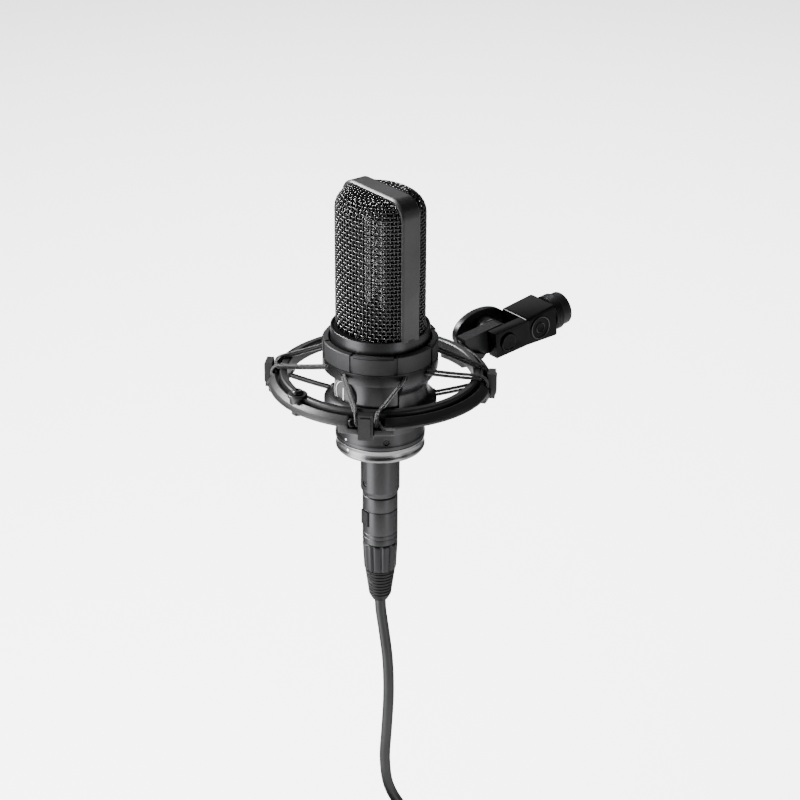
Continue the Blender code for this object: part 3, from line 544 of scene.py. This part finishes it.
def build_basket():
    bm = bmesh.new()
    turn(bm, [(30.5, 15.1), (30.5, 24.2), (27.7, 24.2), (27.7, 15.1)], 96, radius=0.2)
    for k in range(8):
        half = math.radians(22.5) - 1.0 / 31            # half of an eighth, less half of a 2 mm slot
        crest = ([(31.1, 24.4), (30.8, 24.8)], [(31.1, 23.5), (30.2, 23.5), (30.1, 24.8)])[k % 2]
        turn(bm, [(31.1, 15.1), *crest, (27.9, 24.8), (27.6, 24.4), (27.6, 15.1)], 14,
             FRONT + math.radians(45 * k) - half, 2 * half)
    ring = placed("skirt_ring", bevel(bm, 0.22, 2, 50), matt, "microphone")
    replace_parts(ring, "basket_ring")

    shell = turn(bmesh.new(), [(31.1, 14.8), (31.1, 8.6), (30.6, 6.4), (29.2, 4.2), (27.3, 1.6), (26.2, 0.2),
                               (25.85, -1.4), (25.85, -6.4), (26.6, -8.2), (28.4, -10.2), (30.4, -11.4),
                               (30.5, -14.6), (24.5, -14.6), (24.5, 3), (27.6, 8), (27.6, 14.8)], 120)
    cutters = [sector(bmesh.new(), 40, FRONT, math.radians(150), -6.9, 8.2),
               sector(bmesh.new(), 40, -FRONT, math.radians(60), -6.9, 8.2)]
    for clip in CLIPS:
        for side in (-1, 1):
            cutters.append(spoke(clip + side * CORD_SPREAD, 12, 40, 1.5, start=20))
    ribs = carved("basket_ribs", shell, cutters, satin, "microphone")
    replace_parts(ribs, "basket_body")
    for k, (clip, side) in enumerate((c, s) for c in CLIPS for s in (-1, 1)):
        at = clip + side * LUG_SPREAD
        place = Matrix.Translation((0, 0, -13)) @ Matrix.Rotation(at, 4, "Z") @ ACROSS
        lug = turn(bmesh.new(), rounded([(0.02, 29.6), (1.9, 29.6), (1.9, 30.9), (1.5, 31.2), (0.02, 31.2)],
                                        0.2), 24, place=place)
        placed(f"cord_lug_{k + 1}", lug, satin, "microphone")

    cup = turn(bmesh.new(), rounded([(24.4, -14.9), (24.4, -17.2), (24.0, -18), (23.6, -24.5), (24.0, -29.6),
                                     (24.2, -30.5), (24.4, -30.8), (24.4, -32.8), (22.4, -32.8),
                                     (22.4, -14.9)], 0.25), 120)
    cutters = [spoke(FRONT + math.radians(t), -28, 30, 1.7, start=20) for t in (-60, 60, 180)]
    cup = carved("cup", cup, cutters, lathed, "microphone", edge=0.15)
    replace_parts(cup, "basket_cup")
    for k, t in enumerate((-60, 60, 180)):
        place = Matrix.Translation((0, 0, -28)) @ Matrix.Rotation(FRONT + math.radians(t), 4, "Z") @ ACROSS
        socket = turn(bmesh.new(), [(0.02, 22.9), (0.7, 22.9), (0.7, 30), (0.02, 30)], 6, place=place)
        shape = turn(bmesh.new(), rounded([(0.02, 22.2), (1.35, 22.2), (1.35, 23.3), (0.02, 23.3)], 0.15), 24,
                     place=place)
        screw = carved(f"cup_screw_head_{k + 1}", shape, [socket], dark_steel, "microphone", edge=0)
        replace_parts(screw, f"cup_screw_{k + 1}")
    for name, at, z, radius, body, slot in (("cup_mark", 2, -30.0, 23.8, "microphone", "black_metal"),
                                            ("lock_mark", 5, -35.9, 23.5, "lock_ring", "dark_satin")):
        place = Matrix.Translation((0, 0, z)) @ Matrix.Rotation(FRONT + math.radians(at), 4, "Z") @ ACROSS
        dot = turn(bmesh.new(), [(0.02, radius - 0.6), (0.75, radius - 0.6), (0.75, radius + 0.25),
                                 (0.5, radius + 0.4), (0.02, radius + 0.45)], 20, place=place)
        placed(name, dot, ivory, body)
    ring = lathe("lock_band", [(24.4, -33.1), (24.3, -33.8), (23.75, -34.9), (23.6, -36.0), (23.75, -37.2),
                               (24.3, -38.4), (24.3, -39.2), (23.6, -40.3), (11.3, -40.3), (11.3, -37),
                               (22.3, -37), (22.3, -33.1)], dark_satin, "lock_ring", 120, 0.2)
    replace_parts(ring, "lock_ring")


# The shock mount: ring, clips, bolt and cords

def build_ring():
    profile = [(49.8, -5), (49.8, 4.4), (50.5, 5.2), (53.3, 5.2), (54.0, 4.4), (54.2, 0.4), (55.6, 0.4),
               (55.9, 2.9), (56.7, 3.2), (59.2, 0.9), (60.2, -0.8), (60.2, -5), (59.4, -5.8), (50.6, -5.8)]
    ring = turn(bmesh.new(), rounded(profile, 0.3), 180)
    at = Matrix.Translation((0, -BOSS_R, 0))
    boss = turn(bmesh.new(), [(0.02, -3.4), (4.2, -3.4), (4.2, 4.4), (5.3, 4.6), (5.3, 5.8), (4.9, 6.2),
                              (0.02, 6.2)], 36, place=at)
    cutters = [sector(bmesh.new(), 70, math.radians(centre), math.radians(width), -9, -2)
               for centre, width in RING_SHALLOW]
    for clip in CLIPS:
        spin = Matrix.Rotation(clip, 4, "Z")
        cutters.append(box(bmesh.new(), (59.0, -4.3, -9), (70, 4.3, 9), spin))
        cutters.append(box(bmesh.new(), (54.4, -9.6, -2.4), (70, 9.6, 9), spin))
        cutters.append(box(bmesh.new(), (57.9, 9, -2.2), (70, 15.5, -0.6), spin))
        for side in (-1, 1):
            cutters.append(box(bmesh.new(), (45, side * 6.4 - 2, -9), (54, side * 6.4 + 2, -2.6), spin))
    body = carved("mount_ring", ring, cutters, ring_grey, "cradle", joins=[boss], edge=0.2)
    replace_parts(body, "outer_ring")

    dome = turn(bmesh.new(), rounded([(0.02, -6.2), (1.5, -6.2), (1.5, 5.9), (3.2, 5.9), (3.2, 7.2),
                                      (2.3, 8.2), (0.02, 8.5)], 0.3), 36, place=at)
    hexagon = turn(bmesh.new(), [(0.02, 7.1), (1.25, 7.1), (1.25, 12), (0.02, 12)], 6, place=at)
    bolt = carved("boss_bolt", dome, [hexagon], dark_steel, "cradle", edge=0)
    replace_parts(bolt, "ring_bolt")
    nut = turn(bmesh.new(), [(1.8, -5.7), (3.3, -5.7), (3.3, -3.7), (1.8, -3.7)], 6, place=at)
    bevel(nut, 0.3, 2, 40)
    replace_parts(placed("boss_nut", nut, dark_steel, "cradle"), "ring_nut")

    for name, clip in zip(CLIP_NAMES, CLIPS):
        spin = Matrix.Rotation(clip, 4, "Z")
        bm = box(bmesh.new(), (58.2, -3.9, -7.4), (62.1, 3.9, 6.8), spin)
        bevel(bm, 1.1, 4)
        pad = box(bmesh.new(), (61.6, -2.7, -5.2), (62.75, 2.7, 5.2), spin)
        bevel(pad, 1.0, 4)
        for lip in (-1, 1):
            groove = turn(bmesh.new(), rounded([(0.02, -3.2), (1.1, -3.2), (1.1, 3.2), (0.02, 3.2)], 0.4), 16,
                          place=spin @ Matrix.Translation((59.6, 0, lip * 5.6)) @ FACING)
            joined(pad, groove)
        plate = placed("clip_plate_" + name, joined(bm, pad), ring_grey, "cradle")
        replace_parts(plate, "clip_" + name)


def near_clip(clip, radius, off, z):
    """A place beside a clip: off is how far along the ring from the clip's middle, in millimetres."""
    return Matrix.Rotation(clip, 4, "Z") @ Vector((radius, off, z))


def build_cords():
    """Each clip's upper and lower cords: a doubled leg to either side, its hook on the ring, and its end."""
    rows = (("upper", 12.0, CORD_SPREAD, 54.6, 5.9, 1), ("lower", -14.0, LUG_SPREAD, 53.6, -3.6, -1))
    for row, hole_z, spread_at, ridge_r, ridge_z, up in rows:
        node = "elastic_" + row
        for name, clip in zip(CLIP_NAMES, CLIPS):
            for side, hand in ((-1, "a"), (1, "b")):
                inner = clip + side * spread_at
                start, end = near_clip(clip, ridge_r, side * 6.2, ridge_z), polar(31.2, inner, hole_z)
                ahead = (end - start).normalized()
                level = ahead.cross(Vector((0, 0, 1))).normalized()
                spread = (level * 0.45 + level.cross(ahead) * 0.9).normalized()
                bm, over, into = bmesh.new(), bmesh.new(), bmesh.new()
                behind = polar(26.7, inner, hole_z - 0.4 * up)
                for shift in (-0.92, 0.92):
                    line = [start.lerp(end, k / 14) + spread * shift
                            + Vector((0, 0, -0.3 * math.sin(math.pi * k / 14))) for k in range(15)]
                    tube(bm, line, 0.86, 10)
                    tube(into, [end + spread * shift - ahead * 0.2,
                                end + spread * shift * 0.8 + (behind - end) * 0.4,
                                behind + spread * shift * 0.7], 0.84, 10)
                    hook = [start + spread * shift + ahead * 0.3]
                    if up > 0:
                        hook += [near_clip(clip, 56.2 + 0.5 * shift, side * (5.6 + 0.5 * shift), 5.3),
                                 near_clip(clip, 57.3 + 0.5 * shift, side * (5.2 + 0.5 * shift), 3.3),
                                 near_clip(clip, 57.6 + 0.4 * shift, side * (5.0 + 0.6 * shift), 0.9),
                                 near_clip(clip, 57.5 + 0.4 * shift, side * (4.6 + 0.5 * shift), -1.4)]
                    else:
                        hook += [near_clip(clip, 55.2, side * (5.9 + 0.6 * shift), -2.6),
                                 near_clip(clip, 57.0, side * (5.6 + 0.6 * shift), -1.7)]
                    tube(over, smooth_path(hook, 0.7), 0.84, 10)
                leg = placed(f"cord_{row}_{name}_{hand}", bm, braid, None, crease=60)
                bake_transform(leg)
                inner_end = placed(f"cord_end_{row}_{name}_{hand}", into, braid, "microphone", crease=60)
                hooked = placed(f"cord_hook_{row}_{name}_{hand}", over, braid, "cradle", crease=60)
                for piece in (leg, inner_end, hooked):
                    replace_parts(piece, node)
    places = ((57.0, 6.6, 1.2), (57.6, 7.3, -0.6), (58.4, 8.8, -1.5), (58.8, 11.5, -1.6), (58.5, 14.6, -1.5))
    for name, clip in zip(CLIP_NAMES, CLIPS):
        bm = bmesh.new()
        for shift in (-0.75, 0.75):
            line = [near_clip(clip, r, t, z + shift * 0.9 * (0.5 if k > 2 else 0.8))
                    for k, (r, t, z) in enumerate(places)]
            tube(bm, smooth_path(line, 0.8), 0.68, 10)
        lean = Matrix.Rotation(math.radians(62), 4, "Y") @ Matrix.Rotation(math.radians(-20), 4, "X")
        peg = Matrix.Rotation(clip, 4, "Z") @ Matrix.Translation((57.2, -7.5, -0.2)) @ lean
        knot = turn(bmesh.new(), rounded([(0.02, -1.6), (2.3, -1.6), (2.5, 0.4), (1.9, 1.5), (0.02, 1.7)],
                                         0.4), 28, place=peg)
        placed("cord_knot_" + name, knot, rubber, "cradle")
        placed("cord_tuck_" + name, bm, braid, "cradle", crease=60)


# The swivel: adapter with its socket, pivot, knob and bracket

def build_swivel():
    bm = bmesh.new()
    for y, left, right, half in ((-34, -11.7, 10.2, 8), (-12, -11.2, 10.4, 9.6)):
        for x, z in ((left, -half), (right, -half), (right, half), (left, half)):
            bm.verts.new((x, y, z))
    bmesh.ops.convex_hull(bm, input=bm.verts)
    bevel(bm, 1.8, 4)
    ear = bevel(box(bmesh.new(), (3.3, -56.8, -7.4), (10, -30, 7.4)), 1.6, 4)
    bore = turn(bmesh.new(), [(0.02, -16), (8.6, -16), (8.6, 9), (0.02, 9)], 64, place=ALONG)
    bolt = turn(bmesh.new(), [(0.02, -30), (3.3, -30), (3.3, 30), (0.02, 30)], 32,
                place=Matrix.Translation((0, -PIVOT_REACH, 0)) @ ACROSS)
    adapter = carved("adapter", bm, [bore, bolt], gloss, "stand_adapter", SOCKET, joins=[ear], edge=0.15)
    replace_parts(adapter, "stand_adapter")
    spot = Matrix.Translation((0, -24.8, 0.2)) @ ACROSS
    disc = lathe("adapter_disc", [(0, 9.6), (6.9, 9.6), (6.9, 10.45), (6.4, 10.75), (5.9, 10.5), (0, 10.55)],
                 gloss, "stand_adapter", 64, 0.1, SOCKET, spot)
    bm = bmesh.new()
    turn(bm, [(6.0, 10.3), (6.7, 10.3), (6.7, 10.95), (6.35, 11.1), (6.0, 10.95)], 64, place=spot)
    turn(bm, [(2.6, 10.3), (3.1, 10.3), (3.1, 10.8), (2.85, 10.95), (2.6, 10.8)], 48, place=spot)
    placed("adapter_disc_relief", bm, satin, "stand_adapter", SOCKET)
    rings = [(8.8, -11.7), (10.5, -11.7)]
    for k in range(4):
        y = -11.0 + k * 1.15
        rings += [(10.5, y), (10.0, y + 0.15), (10.0, y + 0.5), (10.5, y + 0.65)]
    rings += [(10.5, -6.1), (9.6, -5.7), (9.5, -0.4), (9.3, 0), (8.8, 0)]
    collar = lathe("socket_ring", rings, moulded, "stand_adapter", 64, 0.08, SOCKET, ALONG)
    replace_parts(collar, "socket_collar")
    thread = []
    for k in range(15):
        y = -14.9 + k * 0.94
        thread += [(8.05, y), (7.75, y + 0.47)]
    insert = lathe("socket_thread", [*thread, (7.95, -0.8), (8.5, -0.8), (8.5, -15)], brass,
                   "stand_adapter", 64, None, SOCKET, ALONG)
    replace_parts(insert, "thread_insert")

    cap = turn(bmesh.new(), rounded([(0.02, -11.4), (3, -11.4), (3, 10.3), (5.3, 10.3), (5.3, 10.9),
                                     (4.8, 11.4), (4.2, 11.1), (0.02, 11.2)], 0.2), 48, place=ACROSS)
    slot = turn(bmesh.new(), [(0.02, 12.5), (0.5, 12.5), (0.5, 15), (0.02, 15)], 6, place=ACROSS)
    bolt = carved("pivot_cap", cap, [slot], gloss, "stand_adapter", PIVOT, edge=0)
    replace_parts(bolt, "pivot_bolt")
    side = [(-25, 5), (-25, 2.9), (-22, -0.4), (-21.5, -1.6), (-21.5, -7.2)][::-1]
    side += [(7.8 * math.cos(t), 7.8 * math.sin(t))
             for t in (math.radians(98 - 193 * k / 24) for k in range(25))]
    to_x = Matrix(((0, 0, 1, 0), (1, 0, 0, 0), (0, 1, 0, 0), (0, 0, 0, 1)))
    arm = bevel(prism(bmesh.new(), side, -4.5, 2.7, to_x), 0.9, 3, 40)
    foot = prism(bmesh.new(), [(-21.4, -7.4), (-21.4, -2.4), (-13, -5.4), (-15, -7.4)], -8, 6.5, to_x)
    bevel(foot, 0.5, 2, 40)
    bracket = placed("bracket_arm", joined(arm, foot), moulded, "cradle", PIVOT)
    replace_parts(bracket, "ring_bracket")
    washer = lathe("washer", [(3.3, -5.8), (8, -5.8), (8, -4.8), (3.3, -4.8)], dark_steel, "stand_adapter",
                   48, 0.15, PIVOT, ACROSS)
    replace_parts(washer, "pivot_washer")

    hub = turn(bmesh.new(), [(3.3, -13), (7.8, -13), (7.8, -6.1), (3.3, -6.1)], 48, place=ACROSS)
    wing = [(19 * math.cos(t), 11.7 * math.sin(t)) for t in (math.tau * k / 72 for k in range(72))]
    plate = bevel(prism(bmesh.new(), wing, -16, -12.3, to_x), 1.1, 4, 40)
    dish = turn(bmesh.new(), [(0.02, -20), (5.5, -20), (5.0, -15.4), (0.02, -15.4)], 48, place=ACROSS)
    knob = carved("knob_wing", plate, [dish], moulded, "knob", PIVOT, joins=[hub], edge=0.2)
    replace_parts(knob, "clamp_knob")


# The plugs and the cable

def fluted(bm, top_r, end_r, top, end, count=11, depth=0.8):
    """A grip with count grooves down it, which run out at its rounded ends."""
    rows = []
    for f, shrink in ((0, 0.5), (0.02, 0.12), (0.08, 0), (0.5, 0), (0.92, 0), (0.98, 0.12), (1, 0.5)):
        deep = 0 if f in (0, 1) else depth
        row = []
        for j in range(count * 12):
            a = math.tau * j / (count * 12)
            r = (top_r + (end_r - top_r) * f - shrink) - deep * (0.5 + 0.5 * math.cos(count * a)) ** 6
            row.append(bm.verts.new(polar(r, a, top + (end - top) * f)))
        rows.append(row)
    for here, there in zip(rows, rows[1:]):
        for j in range(len(here)):
            k = (j + 1) % len(here)
            bm.faces.new((here[j], here[k], there[k], there[j]))
    bm.faces.new(rows[0])
    bm.faces.new(rows[-1][::-1])
    return bm


def boot_profile(top, bend, end, top_r, bend_r, tip_r, ribs):
    """A tapering boot with grooves round it, as an outline down one side."""
    found = [(0.02, top), (top_r, top)]
    for k in range(ribs):
        z = top + (bend - top) * (k + 0.55) / ribs
        r = top_r + (bend_r - top_r) * (k + 0.55) / ribs
        found += [(r, z + 0.42), (r - 0.5, z + 0.25), (r - 0.5, z - 0.25), (r - 0.05, z - 0.42)]
    return found + [(bend_r, bend), (tip_r, end), (0.02, end)]


LATCH_TURN = Matrix.Rotation(math.radians(-6), 4, "Z")


def build_plug():
    profile = [(8, -55.2), (8, -70.1), (9.4, -70.1), (9.8, -70.6), (9.85, -78.2), (9.45, -78.4),
               (9.45, -78.8), (9.85, -79.0)]
    for seam in (-92.8, -95.4):
        profile += [(9.85, seam), (9.7, seam - 0.1), (9.7, seam - 0.4), (9.85, seam - 0.5)]
    profile += [(9.8, -99.1), (9.4, -99.6), (7.4, -99.6), (7.4, -55.2)]
    shell = turn(bmesh.new(), profile, 96)
    slot = bevel(box(bmesh.new(), (-3.5, -14, -88.1), (3.5, -6.6, -78.9), LATCH_TURN), 0.8, 3)
    plug = carved("plug_barrel", shell, [slot], lathed, "plug", edge=0.12)
    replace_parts(plug, "plug_shell")
    lever = bevel(box(bmesh.new(), (-3.15, -10.4, -87.8), (3.15, -7.8, -79.2), LATCH_TURN), 0.6, 3)
    latch = placed("latch_lever", lever, moulded, "latch")
    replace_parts(latch, "plug_latch")
    grip = placed("grip_bush", fluted(bmesh.new(), 9.9, 9.0, -99.9, -116.9), moulded, "plug", crease=50)
    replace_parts(grip, "plug_bushing")
    boot = lathe("boot", boot_profile(-117.2, -133.6, -137.2, 8.6, 6.3, 4.4, 8), rubber, "plug", 64, 0.12)
    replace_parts(boot, "strain_relief")


def cable_line():
    """The cable's centreline: down from the boot, round the coil column by column, and to the far plug."""
    sideways = Vector((math.cos(COIL_TURN), math.sin(COIL_TURN), 0))
    facing = Vector((math.sin(COIL_TURN), -math.cos(COIL_TURN), 0))

    def at(s, z, d=0.0):
        return sideways * s + facing * d + Vector((0, 0, z))

    columns, rings = (-9.9, -3.3, 3.3, 9.9), (41.7, 35.0, 28.3)
    order = []
    for k, d in enumerate(columns):
        order += [(r, d) for r in (rings if k % 2 == 0 else rings[::-1])]
    # In degrees: where the coil starts, how far on its first step to a new ring is, and how wide a step is
    start, jog, wide = 45, 277, 60
    line = []
    total = start + 360 * 11
    for step in range(0, total + 1, 4):
        ring = 0 if step < jog else 1 + (step - jog) // 360
        ring = min(ring, len(order) - 1)
        since = step - jog - 360 * (ring - 1)
        f = min(max(since / wide, 0), 1) if ring else 1
        f = f * f * (3 - 2 * f)
        before = order[ring - 1] if ring else order[0]
        r = before[0] + (order[ring][0] - before[0]) * f
        d = before[1] + (order[ring][1] - before[1]) * f
        a = math.radians(start - step)
        line.append(at(r * math.cos(a), COIL_Z + r * math.sin(a), d))
    lead = [at(0, -137.0), at(0.5, -146), at(2.3, -160), at(4.4, -180), at(4.9, -203, -0.8),
            at(3.8, -228, -3), at(2.8, -250, -6), at(4.8, -270, -8.6), at(11.5, -285.5, -9.7),
            at(21.5, -297.6, -9.9)]
    tail = [at(43.2, COIL_Z - 12, 9.0), at(45.9, COIL_Z - 20, 5.6), at(48.2, COIL_Z - 28, 1.2),
            at(TAIL_AT, COIL_Z - 36), at(TAIL_AT, COIL_Z - 44)]
    first = smooth_path(lead + [line[0], line[4]], 3)
    last = smooth_path([line[-3], line[-1]] + tail, 3)
    near = [p for p in first if p.z > line[0].z + 1.0]
    return evenly(near + line + last[3:], 3.0), sideways, facing


def build_cable():
    line, sideways, facing = cable_line()
    bm = tube(bmesh.new(), line, CABLE_R, 12)
    cable = placed("mic_cable", bm, jacket, "plug", crease=60)
    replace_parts(cable, "cable", "cable_coil", "cable_tail")
    place = Matrix.Translation(sideways * TAIL_AT)
    top = COIL_Z - 32.3
    bm = bmesh.new()
    turn(bm, boot_profile(top, top - 17, top - 20, 3.9, 7.0, 7.2, 5), 64, place=place)
    boot = placed("far_boot", bm, rubber, "plug")
    bm = fluted(bmesh.new(), 8.2, 9.4, top - 20.2, top - 34)
    bm.transform(place)
    placed("far_grip", bm, moulded, "plug", crease=50)
    profile = [(0.02, 34.2), (9.2, 34.2), (9.6, 34.8), (9.6, 40), (9.3, 40.2), (9.3, 40.6), (9.6, 40.8),
               (9.6, 52), (9.2, 52.8), (9.2, 75.4), (8.9, 76), (8.1, 76), (8.0, 58), (0.02, 58)]
    shell = turn(bmesh.new(), [(r, top - down) for r, down in profile], 96, place=place)
    far = placed("far_shell", shell, lathed, "plug")
    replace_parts(far, "end_plug")
    bm = bmesh.new()
    for k in range(3):
        spot = place @ Matrix.Translation(polar(3.6, FRONT + math.radians(120 * k + 60), 0))
        turn(bm, rounded([(0.02, top - 57.5), (1.15, top - 57.5), (1.15, top - 72.4), (0.6, top - 73.2),
                          (0.02, top - 73.3)], 0.2), 20, place=spot)
    placed("far_pins", bm, gold, "plug")


def finish_nodes():
    """CAD nodes that show as they are get their own finishes."""
    finishes = {
        "xlr_insert": moulded, "plug_insert": moulded, "xlr_pin_1": gold, "xlr_pin_2": gold, "xlr_pin_3": gold,
        "motor_frame": dark_steel, "motor_deck": dark_steel, "magnet_left": nickel, "magnet_right": nickel,
        "ribbon": foil, "ribbon_clamp_bottom": moulded, "ribbon_clamp_top": moulded, "chassis_plate": can,
        "circuit_board": board, "transformer": can, "coil_tie": tape,
    }
    for name, material in finishes.items():
        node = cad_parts[name]
        node.data.materials.clear()
        node.data.materials.append(material)


# Camera, light and floor

def add_camera():
    back = Vector((math.sin(VIEW_AZIMUTH) * math.cos(VIEW_ELEVATION),
                   -math.cos(VIEW_AZIMUTH) * math.cos(VIEW_ELEVATION), math.sin(VIEW_ELEVATION)))
    up = back.cross(VIEW_RIGHT)
    right = VIEW_RIGHT * math.cos(VIEW_ROLL) + up * math.sin(VIEW_ROLL)
    up = up * math.cos(VIEW_ROLL) - VIEW_RIGHT * math.sin(VIEW_ROLL)
    camera = bpy.data.objects.new("camera", bpy.data.cameras.new("camera"))
    bpy.context.collection.objects.link(camera)
    camera.data.lens = VIEW_LENS
    camera.data.sensor_width = 36
    camera.data.clip_end = 20
    camera.matrix_world = Matrix.Translation(VIEW_TARGET + back * VIEW_DISTANCE) @ Matrix(
        (right, up, back)).transposed().to_4x4()
    bpy.context.scene.camera = camera


def add_light(name, place, aim, wide, high, power, shines=True):
    data = bpy.data.lights.new(name, "AREA")
    data.shape = "RECTANGLE"
    data.size, data.size_y = wide, high
    data.energy = power
    lamp = bpy.data.objects.new(name, data)
    lamp.visible_camera = False
    lamp.visible_glossy = shines
    bpy.context.collection.objects.link(lamp)
    lamp.location = place
    lamp.rotation_euler = (Vector(place) - Vector(aim)).to_track_quat("Z", "Y").to_euler()


def add_stage():
    bm = bmesh.new()
    bmesh.ops.create_circle(bm, cap_ends=True, segments=64, radius=6)
    data = bpy.data.meshes.new("floor")
    bm.to_mesh(data)
    bm.free()
    floor = bpy.data.objects.new("floor", data)
    bpy.context.collection.objects.link(floor)
    floor.location = (0, 0, FLOOR_Z)
    data.materials.append(surface("floor", (0.88, 0.88, 0.88), 0.6, 0, 30, 0.05, 0.02, uneven=0.01))
    world = bpy.data.worlds.new("studio")
    world.use_nodes = True
    world.node_tree.nodes["Background"].inputs["Color"].default_value = (1, 1, 1, 1)
    world.node_tree.nodes["Background"].inputs["Strength"].default_value = 0.05
    bpy.context.scene.world = world


def around(angle, distance, height):
    """A place round the microphone, at an angle from the camera's direction, to its right if positive."""
    a = VIEW_AZIMUTH + math.radians(angle)
    return (math.sin(a) * distance, MIC_Y * MM - math.cos(a) * distance, height)


def add_lights():
    """Softboxes round the microphone, a small hard light on its edges, and a wash that whitens the floor."""
    centre = (0, MIC_Y * MM, 0)
    add_light("softbox_left", around(-62, 1.0, -0.1), centre, 0.65, 1.3, 34)
    add_light("softbox_front", around(44, 1.1, -0.25), centre, 0.32, 0.9, 4.7)
    add_light("softbox_side", around(80, 1.0, 0.15), centre, 0.3, 0.8, 1.0)
    add_light("softbox_back", around(180, 1.2, 0.66), centre, 0.6, 0.35, 4.5)
    add_light("edge", (-0.85, -0.65, 0.72), centre, 0.3, 0.3, 85)
    add_light("floor_wash", around(180, 1.5, 2.3), around(180, 1.8, FLOOR_Z), 2.4, 1.6, 620, shines=False)


build_head()
build_body()
build_basket()
build_ring()
build_cords()
build_swivel()
build_plug()
finish_nodes()
build_cable()
add_camera()
add_stage()
add_lights()
